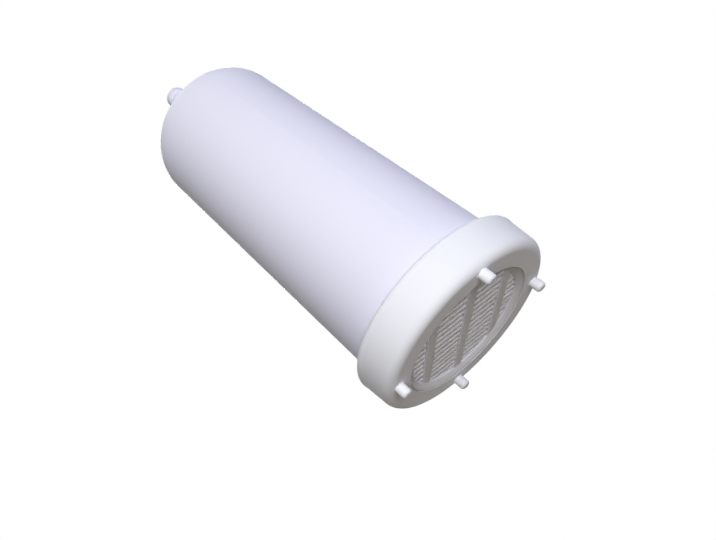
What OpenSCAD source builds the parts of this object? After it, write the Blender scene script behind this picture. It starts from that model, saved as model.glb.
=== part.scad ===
// Water filter cartridge that stands inside the tank of a coffee machine.
// It stands on four short feet. Water enters through the slotted strainer at the foot end,
// rises through the resin and carbon beds, and leaves through the hose spigot on top.
// Origin: on the axis, at the tips of the feet. +Z points up to the spigot.

/* [Housing] */
// Length of the housing and cap together, from the rim of the cap to the top of the dome
case_h = 112.4; // [100:0.1:150]
// Outer diameter of the housing where it leaves the cap
body_d = 44.4; // [40:0.1:46]
// Draft of the housing, how much narrower its diameter is at the far shoulder
body_draft = 0.8; // [0:0.1:2]
// Wall thickness of the housing
body_wall = 1.8; // [1.4:0.1:2.4]
// Corner radius between the side and the dome of the closed end
end_corner_r = 13; // [6:0.1:18]
// Radius of the shallow dome of the closed end
dome_r = 58; // [40:1:120]
// Thickness of the end wall, where the spigot stands
end_wall = 2.2; // [1.9:0.1:3.5]
// Width of the inner ledge that carries the outlet screen
ledge_w = 1.4; // [0.8:0.1:2.4]
// Thickness of the closing flange round the housing
flange_h = 2.4; // [1.6:0.1:3.5]
// Width of the closing flange round the housing
flange_w = 0.65; // [0.4:0.05:1.2]

/* [Spigot] */
// Height of the hose spigot above the dome
spigot_h = 18.1; // [10:0.1:26]
// Neck diameter of the spigot
spigot_d = 5.6; // [4.6:0.1:7]
// Diameter of the bead that holds the hose
bead_d = 7.0; // [5.6:0.1:9]
// Height of the bead
bead_h = 3.8; // [3:0.1:5]
// Bore of the spigot
spigot_bore_d = 3.2; // [2:0.1:3.6]
// Fillet between the spigot and the dome
spigot_fillet = 1.6; // [0.5:0.1:3]
// Diameter of the outlet funnel at the inner face of the end wall
funnel_d = 9; // [6:0.5:14]

/* [Cap] */
// Length of the cap without the feet
cap_h = 10.1; // [8:0.1:16]
// Draft of the cap, how much wider its diameter is at the open edge than at the rim
cap_draft = 1.2; // [0.4:0.1:2.4]
// Wall thickness of the cap skirt
cap_wall = 2.0; // [1.4:0.1:2.6]
// Thickness of the cap floor
cap_floor = 1.7; // [1.2:0.1:2.6]
// Rounding between the rim and the skirt
rim_r = 2.5; // [1:0.1:3.5]
// Rounding of the open edge of the skirt
edge_r = 1.2; // [0.3:0.1:1.6]
// Diameter of the round opening in the cap floor
mouth_d = 36.4; // [34:0.1:38]

/* [Feet] */
// Number of feet
foot_n = 4; // [3:1:6]
// Diameter of a foot
foot_d = 2.7; // [2:0.1:3.4]
// Height of a foot below the rim
foot_h = 2.8; // [1:0.1:5]
// Radius of the circle on which the feet stand
foot_ring_r = 21.7; // [20.5:0.1:22]
// Rounding of the foot tips
foot_round = 0.7; // [0.1:0.1:0.8]

/* [Strainer] */
// Thickness of the strainer flange, which lies on the cap floor
strainer_h = 1.4; // [1:0.1:3]
// Depth of the dish, from the rim of the cap to the face of the ribs
dish_h = 1.0; // [0.5:0.05:1.2]
// How far the slats lie below the face of the ribs
slat_sink = 0.3; // [0.1:0.05:0.6]
// How far the outer edge of the dish lies below the rim of the cap
dish_sink = 0.1; // [0:0.05:0.3]
// Distance from slot to slot
slot_pitch = 2.12; // [1.8:0.02:3]
// Width of a slot
slot_w = 0.9; // [0.5:0.05:1.2]
// Chamfer on both outer edges of a slat
slat_chamfer = 0.2; // [0.1:0.05:0.4]
// Diameter of the slotted field
field_d = 32.8; // [26:0.1:35]
// Distance from rib to rib
rib_pitch = 11.2; // [9:0.1:14]
// Width of a rib
rib_w = 2.5; // [1.6:0.1:4]

/* [Filling] */
// Thickness of the inlet fleece
inlet_fleece_h = 2.2; // [1:0.1:4]
// Height of the ion exchange resin bed
resin_h = 62; // [40:0.5:70]
// Thickness of the divider fleece
divider_fleece_h = 1.6; // [1:0.1:3]
// Thickness of the outlet fleece
outlet_fleece_h = 2.0; // [1:0.1:3]
// Thickness of the outlet screen
screen_h = 1.5; // [1:0.1:2.5]
// Diameter of the holes in the outlet screen
screen_hole_d = 1.6; // [1:0.1:2]
// Distance between the hole circles of the outlet screen
screen_ring_step = 3.4; // [2.8:0.1:5]

/* [Clearances] */
// Radial clearance between the housing and the cap
case_gap = 0.15; // [0.05:0.05:0.3]
// Radial clearance of the strainer flange in the cap
strainer_gap = 0.2; // [0.05:0.05:0.4]
// Radial clearance of the dish in the opening of the cap floor
dish_gap = 0.15; // [0.05:0.05:0.3]
// Radial clearance of the filling and the screen in the housing
fill_gap = 0.15; // [0.05:0.05:0.4]
// How far the flange lies below the open edge of the cap
flange_sink = 0.3; // [0:0.05:0.8]

/* [Hidden] */
$fn = 128;
eps = 0.01;
cut = 1;

// Heights along the axis, from the foot tips upwards
rim_z = foot_h;
cap_edge_z = rim_z + cap_h;
cap_inner_z = rim_z + cap_floor;
tube_z = cap_inner_z + strainer_h;
end_z = rim_z + case_h;
spigot_z = end_z + spigot_h;

// Closed end: the corner arc runs into the dome, whose centre lies on the axis
body_r = body_d / 2;
shoulder_r = body_r - body_draft / 2;
dome_z = end_z - dome_r;
corner_x = shoulder_r - end_corner_r;
corner_rise = sqrt(pow(dome_r - end_corner_r, 2) - pow(corner_x, 2));
shoulder_z = dome_z + corner_rise;
corner_turn = atan2(corner_rise, corner_x);

// Spigot fillet, which touches both the neck and the dome
fillet_x = spigot_d / 2 + spigot_fillet;
fillet_rise = sqrt(pow(dome_r + spigot_fillet, 2) - pow(fillet_x, 2));
fillet_turn = atan2(fillet_rise, fillet_x);

// Inside of the housing
tube_r = body_r - body_wall;
tube_end_r = shoulder_r - body_wall;
ledge_z = shoulder_z;
ledge_r = tube_end_r - ledge_w;
function bore_r(z) = tube_r + (tube_end_r - tube_r) * (z - tube_z) / (ledge_z - tube_z);

// Filling, stacked between the strainer and the ledge
screen_z = ledge_z - screen_h;
outlet_fleece_z = screen_z - outlet_fleece_h;
resin_z = tube_z + inlet_fleece_h;
divider_fleece_z = resin_z + resin_h;
carbon_z = divider_fleece_z + divider_fleece_h;

// Strainer, whose dish reaches into the opening of the cap floor
dish_z = rim_z + dish_sink;
field_z = rim_z + dish_h;
slat_z = field_z + slat_sink;
dish_r = mouth_d / 2 - dish_gap;

// Cap, built outwards from the flange of the housing
flange_r = body_r + flange_w;
flange_z = cap_edge_z - flange_sink - flange_h;
skirt_in_r = flange_r + case_gap;
cap_front_r = skirt_in_r + cap_wall;
cap_r = cap_front_r + cap_draft / 2;
strainer_r = skirt_in_r - strainer_gap;

// One-sided profiles, with x as the radius and y as the height

// Region inside the closed end, moved inwards by a wall
module end_profile(wall) {
    intersection() {
        translate([0, dome_z]) circle(r = dome_r - wall, $fn = 512);
        translate([0, shoulder_z - eps]) square([(dome_r - wall) * cos(corner_turn), dome_r]);
    }
    intersection() {
        translate([corner_x, shoulder_z]) circle(r = end_corner_r - wall);
        translate([corner_x, shoulder_z - eps]) square([end_corner_r, end_corner_r]);
    }
}

// Solid rectangle from the axis, with its outer corners rounded
module rounded_disc(r, h, bottom_round, top_round) {
    difference() {
        square([r, h]);
        translate([r - bottom_round, -cut]) square([bottom_round + cut, bottom_round + cut]);
        translate([r - top_round, h - top_round]) square([top_round + cut, top_round + cut]);
    }
    intersection() {
        square([r, h]);
        union() {
            translate([r - bottom_round, bottom_round]) circle(r = bottom_round);
            translate([r - top_round, h - top_round]) circle(r = top_round);
        }
    }
}

module spigot_profile() {
    bead_z = spigot_z - bead_h;
    translate([0, end_z - eps]) square([spigot_d / 2, spigot_h - bead_h + 2 * eps]);
    translate([0, bead_z]) rounded_disc(bead_d / 2, bead_h, bead_h * 0.25, bead_h * 0.5);
    difference() {
        polygon([[0, end_z - spigot_fillet],
            [dome_r * cos(fillet_turn), dome_z + dome_r * sin(fillet_turn)],
            [fillet_x, dome_z + fillet_rise], [0, dome_z + fillet_rise]]);
        translate([fillet_x, dome_z + fillet_rise]) circle(r = spigot_fillet);
    }
}

// Tube with a closed rounded end, a ledge inside, a closing flange and the hose spigot
module housing() {
    color("ghostwhite") rotate_extrude() difference() {
        union() {
            polygon([[0, tube_z], [body_r, tube_z], [body_r, cap_edge_z],
                [shoulder_r, shoulder_z], [0, shoulder_z]]);
            translate([0, flange_z]) rounded_disc(flange_r, flange_h, edge_r / 2, edge_r / 2);
            end_profile(0);
            spigot_profile();
        }
        polygon([[-cut, tube_z - cut], [tube_r, tube_z - cut], [tube_r, tube_z],
            [tube_end_r, ledge_z], [-cut, ledge_z]]);
        intersection() {
            end_profile(body_wall);
            translate([-cut, ledge_z - eps]) square([ledge_r + cut, end_z - end_wall - ledge_z + eps]);
        }
        translate([-cut, ledge_z]) square([spigot_bore_d / 2 + cut, case_h + spigot_h]);
        polygon([[0, end_z - end_wall - eps], [funnel_d / 2, end_z - end_wall - eps],
            [spigot_bore_d / 2, end_z], [0, end_z]]);
    }
}

module foot() {
    rotate_extrude() {
        rounded_disc(foot_d / 2, foot_h, foot_round, eps);
        translate([0, foot_h - eps]) square([foot_d / 2, cap_floor / 2]);
    }
}

// Cup with a drafted skirt, a rounded rim, a round mouth in its floor and four feet
module end_cap() {
    color("white") {
        rotate_extrude() difference() {
            union() {
                translate([cap_front_r - rim_r, rim_z + rim_r]) circle(r = rim_r);
                translate([0, rim_z]) square([cap_front_r - rim_r, rim_r + eps]);
                polygon([[0, rim_z + rim_r], [cap_front_r, rim_z + rim_r],
                    [cap_r - edge_r / cap_h, cap_edge_z - edge_r], [0, cap_edge_z - edge_r]]);
                translate([cap_r - edge_r, cap_edge_z - edge_r]) circle(r = edge_r);
                translate([0, cap_edge_z - edge_r]) square([cap_r - edge_r, edge_r]);
            }
            translate([-cut, rim_z - cut]) square([mouth_d / 2 + cut, cap_h]);
            translate([-cut, cap_inner_z]) square([skirt_in_r + cut, cap_h]);
        }
        for (i = [0 : foot_n - 1])
            rotate([0, 0, i * 360 / foot_n]) translate([foot_ring_r, 0, 0]) foot();
    }
}

// Cutter for one slot along Y, which widens over the chamfers of the slats beside it
module slot_cutter() {
    wide = slot_w / 2 + slat_chamfer;
    rotate([90, 0, 0]) linear_extrude(2 * field_d, center = true)
        polygon([[-wide, slat_z - cut], [-wide, slat_z], [-slot_w / 2, slat_z + slat_chamfer],
            [-slot_w / 2, tube_z + cut], [slot_w / 2, tube_z + cut],
            [slot_w / 2, slat_z + slat_chamfer], [wide, slat_z], [wide, slat_z - cut]]);
}

// Flanged disc whose face is dished down to the slotted field
module strainer_blank() {
    rotate_extrude() polygon([[0, field_z], [field_d / 2, field_z], [dish_r, dish_z],
        [dish_r, cap_inner_z], [strainer_r, cap_inner_z], [strainer_r, tube_z], [0, tube_z]]);
}

// Slotted disc: slots run along Y and are crossed by raised ribs that run along X
module strainer() {
    slot_n = floor((field_d / 2 - slot_w) / slot_pitch);
    rib_n = floor(field_d / 2 / rib_pitch);
    color("gainsboro") difference() {
        strainer_blank();
        intersection() {
            translate([0, 0, rim_z]) cylinder(d = field_d, h = tube_z - rim_z + cut);
            difference() {
                union() {
                    translate([0, 0, rim_z - cut]) cylinder(r = field_d, h = slat_z - rim_z + cut);
                    for (i = [-slot_n : slot_n]) translate([i * slot_pitch, 0, 0]) slot_cutter();
                }
                for (i = [-rib_n : rib_n])
                    translate([-field_d, i * rib_pitch - rib_w / 2, rim_z - 2 * cut])
                        cube([2 * field_d, rib_w, tube_z]);
            }
        }
    }
}

// Disc or bed that fills the drafted bore between two heights
module filling(z, h) {
    translate([0, 0, z]) cylinder(r1 = bore_r(z) - fill_gap, r2 = bore_r(z + h) - fill_gap, h = h);
}

module inlet_fleece() {
    color("whitesmoke") filling(tube_z, inlet_fleece_h);
}

module resin_bed() {
    color("goldenrod") filling(resin_z, resin_h);
}

module divider_fleece() {
    color("whitesmoke") filling(divider_fleece_z, divider_fleece_h);
}

module carbon_bed() {
    color("dimgray") filling(carbon_z, outlet_fleece_z - carbon_z);
}

module outlet_fleece() {
    color("whitesmoke") filling(outlet_fleece_z, outlet_fleece_h);
}

// Holed disc on the ledge, which keeps the outlet fleece off the end wall
module outlet_screen() {
    ring_n = floor((ledge_r - screen_hole_d) / screen_ring_step);
    color("white") difference() {
        filling(screen_z, screen_h);
        translate([0, 0, screen_z - cut]) cylinder(d = screen_hole_d, h = screen_h + 2 * cut);
        for (k = [1 : ring_n])
            for (i = [0 : 6 * k - 1])
                rotate([0, 0, i * 60 / k]) translate([k * screen_ring_step, 0, screen_z - cut])
                    cylinder(d = screen_hole_d, h = screen_h + 2 * cut, $fn = 32);
    }
}

housing();
end_cap();
strainer();
inlet_fleece();
resin_bed();
divider_fleece();
carbon_bed();
outlet_fleece();
outlet_screen();
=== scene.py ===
import math

import bmesh
import bpy
from mathutils import Euler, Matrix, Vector


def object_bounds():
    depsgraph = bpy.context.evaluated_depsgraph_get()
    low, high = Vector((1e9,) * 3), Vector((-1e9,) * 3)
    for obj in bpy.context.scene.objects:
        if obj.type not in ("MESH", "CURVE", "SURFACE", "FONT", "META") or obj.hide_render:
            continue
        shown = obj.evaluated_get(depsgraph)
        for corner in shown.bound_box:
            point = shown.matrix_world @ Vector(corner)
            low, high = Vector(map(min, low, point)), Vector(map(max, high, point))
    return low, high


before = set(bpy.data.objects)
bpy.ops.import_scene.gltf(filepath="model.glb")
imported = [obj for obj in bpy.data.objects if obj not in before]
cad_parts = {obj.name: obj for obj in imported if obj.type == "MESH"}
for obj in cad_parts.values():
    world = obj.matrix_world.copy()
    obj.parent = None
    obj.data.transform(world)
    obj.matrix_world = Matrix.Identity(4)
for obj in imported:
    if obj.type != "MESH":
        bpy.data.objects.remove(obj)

bl_info = {
    "name": "Tank Filter Cartridge",
    "version": (1, 0, 0),
    "blender": (4, 5, 0),
    "location": "View3D > Sidebar > Filter",
    "description": "Finishes a tank filter cartridge and sets up its stage, lights and camera",
    "category": "Object",
}

CAD_BOX = [list(corner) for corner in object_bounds()]
MM = 0.001
IMAGE_WIDTH = 716
SENSOR_WIDTH = 36.0
# How far light spreads under the surface of milky polypropylene
LIGHT_SPREAD = 1.2 * MM
# Distance between the bands of a wave texture at a scale of 1
WAVE_PERIOD = math.tau / 20
# The light from below fades out between minus and plus this height of its direction, where 1 is straight up
AMBIENT_FADE = 0.3
# Between these distances from the axis the floor goes over from partly lit to its own even colour
FLOOR_FADE_START = 80 * MM
FLOOR_FADE_END = 700 * MM


def linear(hex_colour):
    """Linear RGBA of an sRGB colour written as #RRGGBB."""
    channels = [int(hex_colour[i:i + 2], 16) / 255 for i in (1, 3, 5)]
    return (*(c / 12.92 if c <= 0.04045 else ((c + 0.055) / 1.055) ** 2.4 for c in channels), 1.0)


def colour_property(name, hex_colour, description):
    return bpy.props.FloatVectorProperty(
        name=name, description=description, subtype="COLOR", size=4, min=0.0, max=1.0,
        default=linear(hex_colour))


def length_property(name, millimetres, description):
    return bpy.props.FloatProperty(
        name=name, description=description, subtype="DISTANCE", unit="LENGTH", min=0.0,
        default=millimetres * MM)


def level_property(name, level, description):
    return bpy.props.FloatProperty(
        name=name, description=description + ", where 1 shows a colour as it is written",
        default=level, min=0.0, soft_max=1.0)


class PlasticSettings(bpy.types.PropertyGroup):
    """Colours and finish of the moulded plastic pieces."""

    housing_colour: colour_property("Housing", "#EBECFA", "Colour of the housing and its spigot")
    cap_colour: colour_property("Cap", "#F1F4F8", "Colour of the cap and its feet")
    strainer_colour: colour_property("Strainer", "#EEF1FF", "Colour of the slotted strainer")
    screen_colour: colour_property("Screen", "#E6E6E8", "Colour of the outlet screen")
    grain_size: length_property("Grain size", 0.5, "Width of the pits of the eroded mould surface")


class FillingSettings(bpy.types.PropertyGroup):
    """Colours and sizes of what fills the housing."""

    fleece_colour: colour_property("Fleece", "#E6E3DA", "Colour of the fleece discs")
    resin_colour: colour_property("Resin", "#C08A3A", "Colour of the resin beads")
    carbon_colour: colour_property("Carbon", "#1C1C1D", "Colour of the carbon grains")
    fibre_spacing: length_property("Fibre spacing", 0.4, "Distance between the fibres of the fleece")
    bead_size: length_property("Bead size", 0.7, "Diameter of a resin bead")
    carbon_grain_size: length_property("Carbon grain", 1.1, "Width of a carbon grain")


class StageSettings(bpy.types.PropertyGroup):
    """Camera, lamps and floor."""

    camera_place: bpy.props.FloatVectorProperty(
        name="Camera place", description="Where the camera stands", subtype="XYZ_LENGTH",
        unit="LENGTH", default=(0.12895, -0.07518, -0.04364))
    camera_turn: bpy.props.FloatVectorProperty(
        name="Camera turn", description="Rotation of the camera", subtype="EULER", unit="ROTATION",
        default=tuple(math.radians(a) for a in (135.25, 35.334, 100.391)))
    focal_length_px: bpy.props.FloatProperty(
        name="Focal length", description="Focal length in pixels of the picture", default=639.4)
    axis_column: bpy.props.FloatProperty(
        name="Axis column", description="Column of the picture that the lens axis meets",
        default=240.0)
    floor_size: length_property("Floor size", 40000.0, "Side of the square floor")
    floor_colour: colour_property("Floor", "#F1F1F3", "Colour of the floor")
    floor_glow: bpy.props.FloatProperty(
        name="Floor glow",
        description="Share of the floor's own colour that is seen without any light, near the object",
        subtype="FACTOR", default=0.65, min=0.0, max=1.0)
    ambient_colour: colour_property("Ambient", "#FFE0B4", "Colour of the soft light that comes from below")
    ambient_level: level_property("Ambient level", 0.095, "Soft light from below, which fades upwards")
    key_level: level_property("Key level", 1.18, "Soft light on the side that faces the camera")
    top_level: level_property("Top level", 0.3, "Soft light from above")
    back_level: level_property("Back level", 1.0, "Soft light on the far side")
    side_level: level_property("Side level", 0.17, "Cool soft light from between key lamp and back lamp")


def add_node(tree, kind, inputs=None, **settings):
    """Adds a node with these settings; an input is given a value or the socket it is linked to."""
    node = tree.nodes.new(kind)
    for name, value in settings.items():
        setattr(node, name, value)
    for name, value in (inputs or {}).items():
        if isinstance(value, bpy.types.NodeSocket):
            tree.links.new(value, node.inputs[name])
        else:
            node.inputs[name].default_value = value
    return node


def mix_shaders(tree, factor, first, second):
    """The output of a mix of two shader outputs."""
    return add_node(tree, "ShaderNodeMixShader", {"Fac": factor, 1: first, 2: second}).outputs["Shader"]


def seen_rays(tree):
    """1 for a camera, glossy or transmitted ray, otherwise 0."""
    rays = add_node(tree, "ShaderNodeLightPath")
    seen = rays.outputs["Is Camera Ray"]
    for kind in ("Is Glossy Ray", "Is Transmission Ray"):
        seen = add_node(tree, "ShaderNodeMath", {0: seen, 1: rays.outputs[kind]}, operation="MAXIMUM")
        seen = seen.outputs["Value"]
    return seen


def new_material(name):
    """An empty node material with its output node, as (material, tree, output)."""
    material = bpy.data.materials.new(name)
    material.use_nodes = True
    tree = material.node_tree
    tree.nodes.clear()
    return material, tree, add_node(tree, "ShaderNodeOutputMaterial")


def finish_node(node_name, material):
    """Gives a CAD node's object this material in all of its slots."""
    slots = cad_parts[node_name].material_slots
    if not slots:
        raise RuntimeError(f"CAD node {node_name} has no material slot")
    for slot in slots:
        slot.material = material


def moulded_plastic(name, colour, grain_size, roughness, grain_depth, milkiness=0.0):
    """Injection moulded polypropylene: satin, with the faint orange peel of an eroded mould.

    Milkiness is the share of the light that spreads under the surface of thin walls.
    """
    material, tree, output = new_material(name)
    place = add_node(tree, "ShaderNodeTexCoord")
    grain = add_node(tree, "ShaderNodeTexNoise", {
        "Vector": place.outputs["Object"], "Scale": 1 / grain_size, "Detail": 2.0})
    bump = add_node(tree, "ShaderNodeBump", {
        "Height": grain.outputs["Fac"], "Strength": 0.15, "Distance": grain_depth})
    plastic = add_node(tree, "ShaderNodeBsdfPrincipled", {
        "Base Color": colour, "Roughness": roughness, "IOR": 1.49, "Specular IOR Level": 0.1,
        "Subsurface Weight": milkiness, "Subsurface Radius": (1.0, 1.0, 1.0),
        "Subsurface Scale": LIGHT_SPREAD, "Normal": bump.outputs["Normal"]})
    tree.links.new(plastic.outputs["BSDF"], output.inputs["Surface"])
    return material


def needled_fleece(name, colour, fibre_spacing):
    """Needle punched polypropylene fleece: dull, with short crossing fibres."""
    material, tree, output = new_material(name)
    place = add_node(tree, "ShaderNodeTexCoord")
    fibres = add_node(tree, "ShaderNodeTexWave", {
        "Vector": place.outputs["Object"], "Scale": WAVE_PERIOD / fibre_spacing, "Distortion": 30.0,
        "Detail": 4.0, "Detail Scale": 2.0})
    shade = add_node(tree, "ShaderNodeMix", {
        "Factor": fibres.outputs["Fac"], "A": tuple(c * 0.8 for c in colour[:3]) + (1.0,), "B": colour},
        data_type="RGBA")
    bump = add_node(tree, "ShaderNodeBump", {
        "Height": fibres.outputs["Fac"], "Strength": 0.8, "Distance": fibre_spacing / 2})
    felt = add_node(tree, "ShaderNodeBsdfPrincipled", {
        "Base Color": shade.outputs["Result"], "Roughness": 0.95, "Specular IOR Level": 0.2,
        "Normal": bump.outputs["Normal"]})
    tree.links.new(felt.outputs["BSDF"], output.inputs["Surface"])
    return material


def packed_grains(name, colour, grain_size, roughness, variation):
    """Loose grains or beads packed in the housing: each one a cell with its own shade."""
    material, tree, output = new_material(name)
    place = add_node(tree, "ShaderNodeTexCoord")
    cells = add_node(tree, "ShaderNodeTexVoronoi", {
        "Vector": place.outputs["Object"], "Scale": 1 / grain_size})
    tone = add_node(tree, "ShaderNodeSeparateColor", {"Color": cells.outputs["Color"]})
    shade = add_node(tree, "ShaderNodeMix", {
        "Factor": tone.outputs["Red"], "A": tuple(c * (1 - variation) for c in colour[:3]) + (1.0,),
        "B": colour}, data_type="RGBA")
    bump = add_node(tree, "ShaderNodeBump", {
        "Height": cells.outputs["Distance"], "Strength": 1.0, "Distance": grain_size / 2}, invert=True)
    grains = add_node(tree, "ShaderNodeBsdfPrincipled", {
        "Base Color": shade.outputs["Result"], "Roughness": roughness,
        "Normal": bump.outputs["Normal"]})
    tree.links.new(grains.outputs["BSDF"], output.inputs["Surface"])
    return material


class FILTER_OT_housing(bpy.types.Operator):
    """Finish the housing as satin moulded polypropylene"""

    bl_idname = "filter.housing"
    bl_label = "Housing"

    def execute(self, context):
        plastic = context.scene.filter_plastic
        finish_node("housing", moulded_plastic(
            "moulded_polypropylene_housing", plastic.housing_colour, plastic.grain_size,
            roughness=0.52, grain_depth=0.01 * MM))
        return {"FINISHED"}


class FILTER_OT_cap(bpy.types.Operator):
    """Finish the cap and its feet as slightly glossier moulded polypropylene"""

    bl_idname = "filter.cap"
    bl_label = "Cap"

    def execute(self, context):
        plastic = context.scene.filter_plastic
        finish_node("end_cap", moulded_plastic(
            "moulded_polypropylene_cap", plastic.cap_colour, plastic.grain_size,
            roughness=0.48, grain_depth=0.01 * MM))
        return {"FINISHED"}


class FILTER_OT_strainer(bpy.types.Operator):
    """Finish the slotted strainer and the outlet screen as matt moulded polypropylene"""

    bl_idname = "filter.strainer"
    bl_label = "Strainer and Screen"

    def execute(self, context):
        plastic = context.scene.filter_plastic
        finish_node("strainer", moulded_plastic(
            "moulded_polypropylene_strainer", plastic.strainer_colour, plastic.grain_size,
            roughness=0.5, grain_depth=0.005 * MM, milkiness=1.0))
        finish_node("outlet_screen", moulded_plastic(
            "moulded_polypropylene_screen", plastic.screen_colour, plastic.grain_size,
            roughness=0.5, grain_depth=0.015 * MM))
        return {"FINISHED"}


class FILTER_OT_fleeces(bpy.types.Operator):
    """Finish the three fleece discs as needle punched felt"""

    bl_idname = "filter.fleeces"
    bl_label = "Fleeces"

    def execute(self, context):
        filling = context.scene.filter_filling
        felt = needled_fleece("needled_fleece", filling.fleece_colour, filling.fibre_spacing)
        for name in ("inlet_fleece", "divider_fleece", "outlet_fleece"):
            finish_node(name, felt)
        return {"FINISHED"}


class FILTER_OT_beds(bpy.types.Operator):
    """Finish the resin bed as moist beads and the carbon bed as dull grains"""

    bl_idname = "filter.beds"
    bl_label = "Resin and Carbon Beds"

    def execute(self, context):
        filling = context.scene.filter_filling
        finish_node("resin_bed", packed_grains(
            "ion_exchange_resin_beads", filling.resin_colour, filling.bead_size,
            roughness=0.25, variation=0.4))
        finish_node("carbon_bed", packed_grains(
            "activated_carbon_grains", filling.carbon_colour, filling.carbon_grain_size,
            roughness=0.7, variation=0.5))
        return {"FINISHED"}


def place_facing(obj, place, target):
    """Puts a lamp at a place and points it at a target."""
    obj.location = place
    obj.rotation_euler = (Vector(place) - Vector(target)).to_track_quat("Z", "Y").to_euler()


def add_lamp(name, azimuth, elevation, distance, size, height, level, colour="#FFFFFF"):
    """A square area lamp aimed at this height on the axis, where it lights a facing wall to this level.

    Azimuth and elevation are in degrees, lengths in metres.
    """
    target = Vector((0, 0, height))
    light = bpy.data.lights.new(name, "AREA")
    light.shape = "SQUARE"
    light.size = size
    light.color = linear(colour)[:3]
    light.energy = level * (math.pi * distance) ** 2
    lamp = bpy.data.objects.new(name, light)
    lamp.visible_camera = False
    bpy.context.scene.collection.objects.link(lamp)
    a, e = math.radians(azimuth), math.radians(elevation)
    direction = Vector((math.cos(e) * math.cos(a), math.cos(e) * math.sin(a), math.sin(e)))
    place_facing(lamp, target + distance * direction, target)
    return lamp


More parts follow.
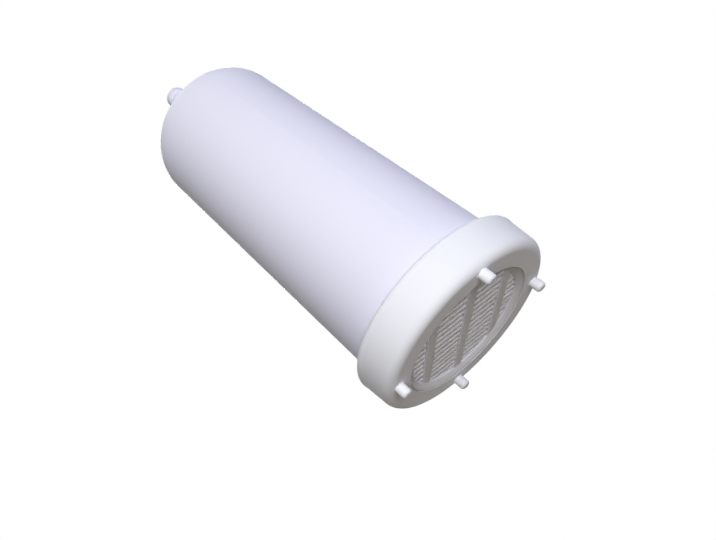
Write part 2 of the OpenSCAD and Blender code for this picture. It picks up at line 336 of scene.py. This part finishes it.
class FILTER_OT_stage(bpy.types.Operator):
    """Set the floor, the world, the soft lamps and the camera"""

    bl_idname = "filter.stage"
    bl_label = "Stage"

    def execute(self, context):
        stage = context.scene.filter_stage
        floor = self.add_floor(stage)
        self.set_world(context, stage)
        self.add_lamps(stage, floor)
        self.add_camera(context, stage)
        context.scene.view_settings.view_transform = "Standard"
        return {"FINISHED"}

    def add_floor(self, stage):
        """A pale floor at the foot tips. From below it is clear, so a camera there sees the foot end."""
        mesh = bpy.data.meshes.new("floor")
        shape = bmesh.new()
        bmesh.ops.create_grid(shape, x_segments=1, y_segments=1, size=stage.floor_size / 2)
        shape.to_mesh(mesh)
        shape.free()
        floor = bpy.data.objects.new("floor", mesh)
        bpy.context.scene.collection.objects.link(floor)
        material, tree, output = new_material("pale_painted_floor")
        paint = add_node(tree, "ShaderNodeBsdfDiffuse", {"Color": stage.floor_colour})
        pale = add_node(tree, "ShaderNodeEmission", {"Color": stage.floor_colour})
        place = add_node(tree, "ShaderNodeTexCoord")
        distance = add_node(tree, "ShaderNodeVectorMath", {0: place.outputs["Object"]}, operation="LENGTH")
        share = add_node(tree, "ShaderNodeMapRange", {
            "Value": distance.outputs["Value"], "From Min": FLOOR_FADE_START,
            "From Max": FLOOR_FADE_END, "To Min": stage.floor_glow, "To Max": 1.0})
        glow = add_node(tree, "ShaderNodeMath", {
            0: seen_rays(tree), 1: share.outputs["Result"]}, operation="MULTIPLY")
        top_side = mix_shaders(
            tree, glow.outputs["Value"], paint.outputs["BSDF"], pale.outputs["Emission"])
        clear = add_node(tree, "ShaderNodeBsdfTransparent")
        side = add_node(tree, "ShaderNodeNewGeometry")
        shader = mix_shaders(tree, side.outputs["Backfacing"], top_side, clear.outputs["BSDF"])
        tree.links.new(shader, output.inputs["Surface"])
        mesh.materials.append(material)
        floor.visible_shadow = False
        floor.visible_diffuse = False
        return floor

    def set_world(self, context, stage):
        """White where a camera, glossy or clear ray sees it, and otherwise a soft light from below."""
        world = bpy.data.worlds.new("studio")
        context.scene.world = world
        world.use_nodes = True
        tree = world.node_tree
        tree.nodes.clear()
        seen = seen_rays(tree)
        direction = add_node(tree, "ShaderNodeTexCoord")
        height = add_node(tree, "ShaderNodeSeparateXYZ", {"Vector": direction.outputs["Generated"]})
        ambient = add_node(tree, "ShaderNodeMapRange", {
            "Value": height.outputs["Z"], "From Min": AMBIENT_FADE, "From Max": -AMBIENT_FADE,
            "To Max": stage.ambient_level})
        strength = add_node(tree, "ShaderNodeMapRange", {
            "Value": seen, "To Min": ambient.outputs["Result"], "To Max": 1.0})
        colour = add_node(tree, "ShaderNodeMix", {
            "Factor": seen, "A": stage.ambient_colour, "B": linear("#FFFFFF")},
            data_type="RGBA")
        light = add_node(tree, "ShaderNodeBackground", {
            "Color": colour.outputs["Result"], "Strength": strength.outputs["Result"]})
        output = add_node(tree, "ShaderNodeOutputWorld")
        tree.links.new(light.outputs["Background"], output.inputs["Surface"])

    def add_lamps(self, stage, floor):
        """A key lamp low in front of the foot end, one overhead, one behind and a cool one at the side.

        The key lamp and the side lamp reach below the floor, so they don't light it.
        """
        foot_end = CAD_BOX[0][2]
        middle = (CAD_BOX[0][2] + CAD_BOX[1][2]) / 2
        key_lamp = add_lamp(
            "key_lamp", azimuth=-20, elevation=-8.5, distance=0.46, size=0.36, height=foot_end,
            level=stage.key_level, colour="#F6F6FB")
        side_lamp = add_lamp(
            "side_lamp", azimuth=70, elevation=0, distance=0.8, size=0.4, height=middle,
            level=stage.side_level, colour="#AABAFF")
        unlit = bpy.data.collections.new("not_lit_by_low_lamps")
        unlit.objects.link(floor)
        unlit.collection_objects[0].light_linking.link_state = "EXCLUDE"
        for lamp in (key_lamp, side_lamp):
            lamp.light_linking.receiver_collection = unlit
        add_lamp(
            "top_lamp", azimuth=0, elevation=88, distance=0.8, size=0.5, height=middle,
            level=stage.top_level)
        add_lamp(
            "back_lamp", azimuth=150, elevation=45, distance=0.9, size=0.5, height=middle,
            level=stage.back_level)

    def add_camera(self, context, stage):
        """The camera at the viewing angle of the picture."""
        lens = bpy.data.cameras.new("camera")
        lens.sensor_width = SENSOR_WIDTH
        lens.lens = stage.focal_length_px * SENSOR_WIDTH / IMAGE_WIDTH
        lens.shift_x = (IMAGE_WIDTH / 2 - stage.axis_column) / IMAGE_WIDTH
        lens.clip_start = 0.005
        camera = bpy.data.objects.new("camera", lens)
        camera.location = stage.camera_place
        camera.rotation_euler = Euler(stage.camera_turn)
        context.scene.collection.objects.link(camera)
        context.scene.camera = camera


OPERATORS = (
    FILTER_OT_housing,
    FILTER_OT_cap,
    FILTER_OT_strainer,
    FILTER_OT_fleeces,
    FILTER_OT_beds,
    FILTER_OT_stage,
)


class FILTER_PT_sidebar(bpy.types.Panel):
    """Lists the steps that finish the cartridge"""

    bl_idname = "FILTER_PT_sidebar"
    bl_label = "Tank Filter Cartridge"
    bl_space_type = "VIEW_3D"
    bl_region_type = "UI"
    bl_category = "Filter"

    def draw(self, context):
        for operator in OPERATORS:
            self.layout.operator(operator.bl_idname)
        for group in SETTINGS:
            settings = getattr(context.scene, group)
            for name in settings.bl_rna.properties.keys():
                if name not in ("rna_type", "name"):
                    self.layout.prop(settings, name)


SETTINGS = {
    "filter_plastic": PlasticSettings,
    "filter_filling": FillingSettings,
    "filter_stage": StageSettings,
}


def register():
    for cls in (*SETTINGS.values(), *OPERATORS, FILTER_PT_sidebar):
        bpy.utils.register_class(cls)
    for name, cls in SETTINGS.items():
        setattr(bpy.types.Scene, name, bpy.props.PointerProperty(type=cls))


def unregister():
    for name in SETTINGS:
        delattr(bpy.types.Scene, name)
    for cls in reversed((*SETTINGS.values(), *OPERATORS, FILTER_PT_sidebar)):
        bpy.utils.unregister_class(cls)


def main():
    register()
    for operator in OPERATORS:
        group, name = operator.bl_idname.split(".")
        getattr(getattr(bpy.ops, group), name)()


if __name__ == "__main__":
    main()
